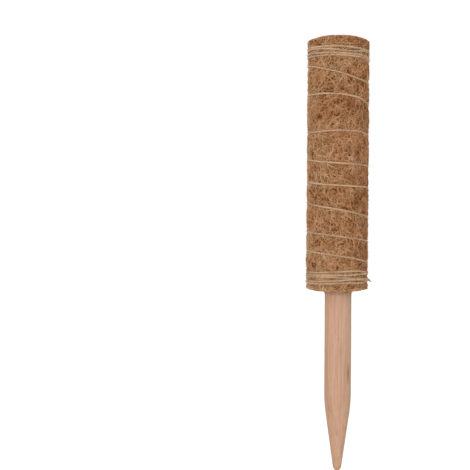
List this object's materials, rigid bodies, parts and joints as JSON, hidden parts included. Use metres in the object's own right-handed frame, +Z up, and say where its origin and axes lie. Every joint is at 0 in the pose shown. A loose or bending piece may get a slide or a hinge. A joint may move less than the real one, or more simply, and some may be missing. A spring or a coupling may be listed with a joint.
{
  "type": "moss pole",
  "caption": "Round coir pole for climbing plants, bound with twine over a hollow core, with a pointed wooden stake below and an open top that takes the stake of a second pole.",
  "frame": {"origin": "on the stake's axis at the foot of the coir, where the soil comes when the pole is pushed in", "axes": "+Z up along the pole, +X to the right and +Y away from the viewer in the picture's view, which looks at the -Y side"},
  "size_m": [0.0605, 0.0572, 0.4],
  "materials": {
    "stake_wood": "matte",
    "tube_plastic": "satin",
    "coir": "matte",
    "twine": "matte",
    "brad_steel": "satin"
  },
  "bodies": {
    "root": {"stake": "stake_wood", "core_tube": "tube_plastic", "coir_mat": "coir", "jute_twine": "twine", "left_brad": "brad_steel", "right_brad": "brad_steel"}
  },
  "joints": []
}
